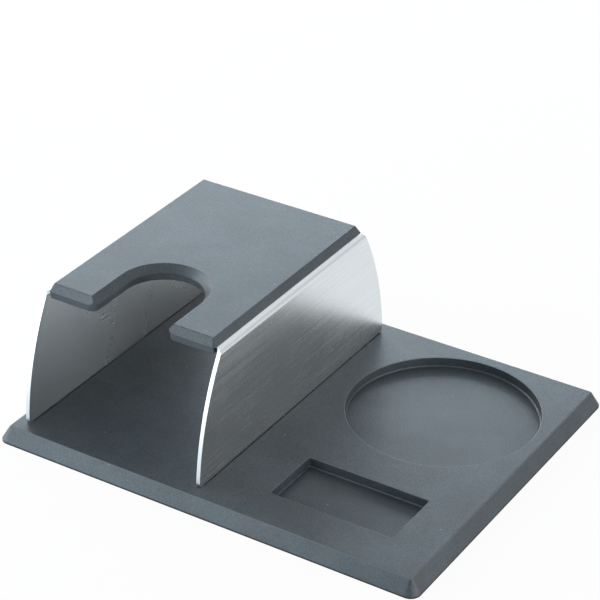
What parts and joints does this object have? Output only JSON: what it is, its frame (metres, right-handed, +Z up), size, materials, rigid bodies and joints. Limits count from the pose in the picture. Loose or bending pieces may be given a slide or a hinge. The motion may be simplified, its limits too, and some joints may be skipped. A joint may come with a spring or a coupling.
{
  "type": "espresso tamping station",
  "caption": "Espresso tamping station: a rubber mat with a round and a rectangular recess, and a folded steel bridge whose notched rubber top holds a filter holder.",
  "frame": {"origin": "centre of the mat's underside", "axes": "+Z up; X along the mat's long edge, with the recesses at +X and the bridge at -X; the rest pad's notch opens towards -Y"},
  "size_m": [0.2314, 0.188, 0.0775],
  "materials": {
    "mat_rubber": "matte moulded",
    "steel": "brushed along the walls",
    "pad_rubber": "matte moulded"
  },
  "bodies": {
    "root": {"base_mat": "mat_rubber", "steel_bridge": "steel", "rest_pad": "pad_rubber"}
  },
  "joints": []
}
